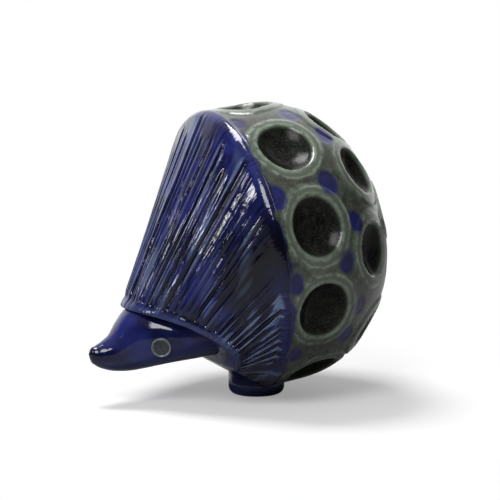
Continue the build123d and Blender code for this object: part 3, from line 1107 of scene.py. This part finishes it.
def front_finish():
    """Cobalt glaze that is dark in the combed grooves and pale where it breaks over the ridges, with a
    painted highlight along its edge.
    """
    finish = Finish(bpy.data.materials.new("mantle_glaze"))
    relief = finish.field("relief")
    around = finish.field("around")
    left = finish.field("left")
    calm = finish.field("calm")
    flank = abs(around)
    lengthwise = finish.vector(around, left * STREAK_STRETCH, 0.0)
    streak = finish.noise(STREAKS, detail=3.0, vector=lengthwise)
    thin = finish.noise(THIN_STREAKS, vector=lengthwise)
    broad = finish.noise(BROAD_STREAKS, vector=lengthwise)

    colour = finish.mix(blue_glaze(finish), INK, calm)
    colour = finish.lay(colour, INK, -relief, *GROOVE_SPAN, share=0.95)
    colour = finish.lay(colour, STEEL_BLUE, streak, low=0.54, high=0.74, share=0.45 - 0.45 * calm)
    colour = finish.lay(colour, INK, 1.0 - streak, low=0.5, high=0.66, share=0.8)
    ridge = finish.step(relief, *RIDGE_SPAN) * finish.step(broad, low=0.35, high=0.6)
    colour = finish.mix(colour, PALE_BLUE, ridge * (0.15 + 0.6 * thin))
    patch = finish.step(broad, low=0.45, high=0.65)
    colour = finish.lay(colour, PALE_BLUE, thin, low=0.62, high=0.74, share=patch * 0.35)

    trough = finish.step(-relief, *TROUGH_SPAN)
    colour = finish.lay(colour, INK, flank, *TROUGH_FLANK_SPAN, share=trough * 0.6)
    crest = finish.step(relief, *CREST_SPAN) * finish.step(flank, *CREST_FLANK_SPAN)
    colour = finish.lay(colour, PALE_BLUE, thin, low=0.3, high=0.6, share=crest * 0.9)
    # A pale steel-blue band along the front's rolled edge and under it: a painted highlight.
    lip = 1.0 - finish.step(finish.field("edge_gap"), *EDGE_HIGHLIGHT_SPAN)
    colour = finish.mix(colour, STEEL_BLUE, lip * 0.8)
    colour = finish.lay(colour, INK, flank, *LOW_FLANK_SPAN, share=0.6)
    pale_line = finish.step(flank, *PALE_LINE_INNER_SPAN) - finish.step(flank, *PALE_LINE_OUTER_SPAN)
    colour = finish.lay(colour, PALE_BLUE, left, low=0.25, high=0.5, share=pale_line * 0.6)
    colour = finish.mix(colour, SAGE, finish.step(finish.field("rim_gap"), *SEAM_SPAN))
    normal = finish.bump(streak, FINE_WAVE_DEPTH, normal=glaze_surface(finish))
    return finish.glaze(colour, roughness=0.07, normal=normal)


def head_finish():
    """Cobalt glaze of the head, paler under the jaw and darker at the nose."""
    finish = Finish(bpy.data.materials.new("head_glaze"))
    colour = finish.lay(blue_glaze(finish), STEEL_BLUE, finish.field("turn"), *JAW_ANGLES, share=0.35)
    colour = finish.lay(colour, INK, finish.field("along"), *NOSE_SHARES, share=0.6)
    return finish.glaze(colour, roughness=0.08, normal=glaze_surface(finish, strength=0.7))


def base_finish():
    """Dark blue glaze of the base, with a green run at its back."""
    finish = Finish(bpy.data.materials.new("base_glaze"))
    cloud = finish.noise(BASE_CLOUDS, detail=3.0)
    colour = finish.lay(COBALT, STEEL_BLUE, cloud, low=0.35, high=0.7, share=0.8)
    x = finish.node("ShaderNodeSeparateXYZ", None, [finish.place()], output="X")
    uneven_x = x + finish.noise(BASE_RUN_WAVES) * (BASE_RUN_STRAY * MM)
    start, end = BASE_RUN_SPAN
    colour = finish.lay(colour, MOSS, uneven_x, start * MM, end * MM, share=0.8)
    return finish.glaze(colour, roughness=0.12, normal=glaze_surface(finish, strength=0.8))


def eye_finish():
    """Grey speckled disc with a pale ring."""
    finish = Finish(bpy.data.materials.new("eye_glaze"))
    speck = finish.noise(FINE_SPECKS, detail=3.0)
    disc = finish.lay(EYE_GREY, CHARCOAL, speck, low=0.5, high=0.62, share=0.7)
    colour = finish.mix(disc, EYE_PALE, finish.step(finish.field("ring"), *EYE_RING_SPAN))
    return finish.glaze(colour, roughness=0.15, normal=glaze_surface(finish, strength=0.3))


def place_camera():
    """The photograph's camera."""
    azimuth = np.radians(VIEW_AZIMUTH)
    elevation = np.radians(VIEW_ELEVATION)
    level = np.cos(elevation)
    back = Vector((np.sin(azimuth) * level, -np.cos(azimuth) * level, np.sin(elevation)))
    right = Vector((np.cos(azimuth), np.sin(azimuth), 0))
    up = back.cross(right)
    aim = Vector(AIM) + right * AIM_RIGHT + up * AIM_UP
    data = bpy.data.cameras.new("view")
    data.sensor_width = SENSOR
    data.lens = SENSOR * FOCAL_SHARE
    data.clip_start = VIEW_NEAREST
    data.clip_end = VIEW_FARTHEST
    camera = placed("view", data)
    turned = Matrix((right, up, back)).transposed().to_4x4()
    camera.matrix_world = Matrix.Translation((aim + back * VIEW_DISTANCE) * MM) @ turned
    bpy.context.scene.camera = camera


def soft_lamp(name, place, width, height, power):
    """A flat studio lamp that looks at the figure."""
    data = bpy.data.lights.new(name, "AREA")
    data.shape = "RECTANGLE"
    data.size = width
    data.size_y = height
    data.energy = power
    lamp = placed(name, data)
    lamp.location = place
    aim = Vector(LAMP_AIM) - Vector(place)
    lamp.rotation_euler = aim.to_track_quat("-Z", "Y").to_euler()


def studio():
    """A pale room: white behind the figure, dim towards the camera, with lamps round it."""
    world = bpy.data.worlds.new("room")
    bpy.context.scene.world = world
    finish = Finish(world)
    azimuth = np.radians(VIEW_AZIMUTH)
    to_camera = (float(np.sin(azimuth)), float(-np.cos(azimuth)), 0.0)
    direction = finish.node("ShaderNodeTexCoord", output="Generated")
    dot_product = {"operation": "DOT_PRODUCT"}
    facing = finish.node("ShaderNodeVectorMath", dot_product, [direction, to_camera], output="Value")
    height = finish.node("ShaderNodeSeparateXYZ", None, [direction], output="Z")
    behind = 1.0 - finish.step(facing, *ROOM_BEHIND_SPAN)
    above = finish.step(height, *ROOM_ABOVE_SPAN)
    mirrored = finish.node("ShaderNodeLightPath", output="Is Glossy Ray")
    level = ROOM_DIM + behind * (ROOM_BEHIND + (1.0 - ROOM_BEHIND) * mirrored) + ROOM_ABOVE * above
    lit = finish.node("ShaderNodeBackground", None, [WHITE, level])
    seen = finish.node("ShaderNodeBackground", None, [WHITE, 1.0])
    camera_ray = finish.node("ShaderNodeLightPath", output="Is Camera Ray")
    mixed = finish.node("ShaderNodeMixShader", None, [camera_ray, lit, seen])
    finish.node("ShaderNodeOutputWorld", None, [mixed])
    for lamp in LAMPS:
        soft_lamp(*lamp)


def studio_floor():
    """A white floor that keeps the figure's soft shadow and fades into the white room."""
    work = bmesh.new()
    bmesh.ops.create_circle(work, cap_ends=True, segments=CIRCLE_STEPS, radius=FLOOR_RADIUS)
    floor = placed("floor", mesh_from("floor", work))
    finish = Finish(bpy.data.materials.new("floor_white"))
    length = {"operation": "LENGTH"}
    distance = finish.node("ShaderNodeVectorMath", length, [finish.place()], output="Value")
    camera_ray = finish.node("ShaderNodeLightPath", output="Is Camera Ray")
    shade = finish.mix(FLOOR_UNSEEN, FLOOR_SEEN, camera_ray)
    white = finish.node("ShaderNodeBsdfDiffuse", None, [shade])
    glow = finish.node("ShaderNodeEmission", None, [WHITE, 1.0])
    far = FLOOR_LEAST_GLOW + (1.0 - FLOOR_LEAST_GLOW) * finish.step(distance, *FLOOR_GLOW_SPAN)
    mixed = finish.node("ShaderNodeMixShader", None, [far * camera_ray, white, glow])
    finish.node("ShaderNodeOutputMaterial", None, [mixed])
    floor.data.materials.append(finish.owner)


def dress():
    """Makes every piece of the figure and puts it in place of its plain solid."""
    back = grid_piece("dimpled_back", BACK_COLUMNS, BACK_ROWS, back_place)
    front = grid_piece("carved_front", FRONT_COLUMNS, FRONT_END, front_place)
    head = grid_piece("pointed_head", HEAD_COLUMNS, HEAD_ROWS, head_place)
    grey = eye_finish()
    pieces = (
        (back, back_finish(), "back_shell", "dome_glaze"),
        (front, front_finish(), "quill_mantle", "mantle_glaze"),
        (head, head_finish(), "head", "head_glaze"),
        (base_piece("round_base"), base_finish(), "base", "base_glaze"),
        (eye_piece("near_eye", -1), grey, "left_eye", "eye_glaze"),
        (eye_piece("far_eye", 1), grey, "right_eye", "eye_glaze"),
    )
    for piece, finish, node, slot in pieces:
        piece.data.materials.append(finish)
        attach(piece, "root")
        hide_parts(node)


bpy.context.scene.view_settings.view_transform = "Standard"
place_camera()
studio()
studio_floor()
dress()
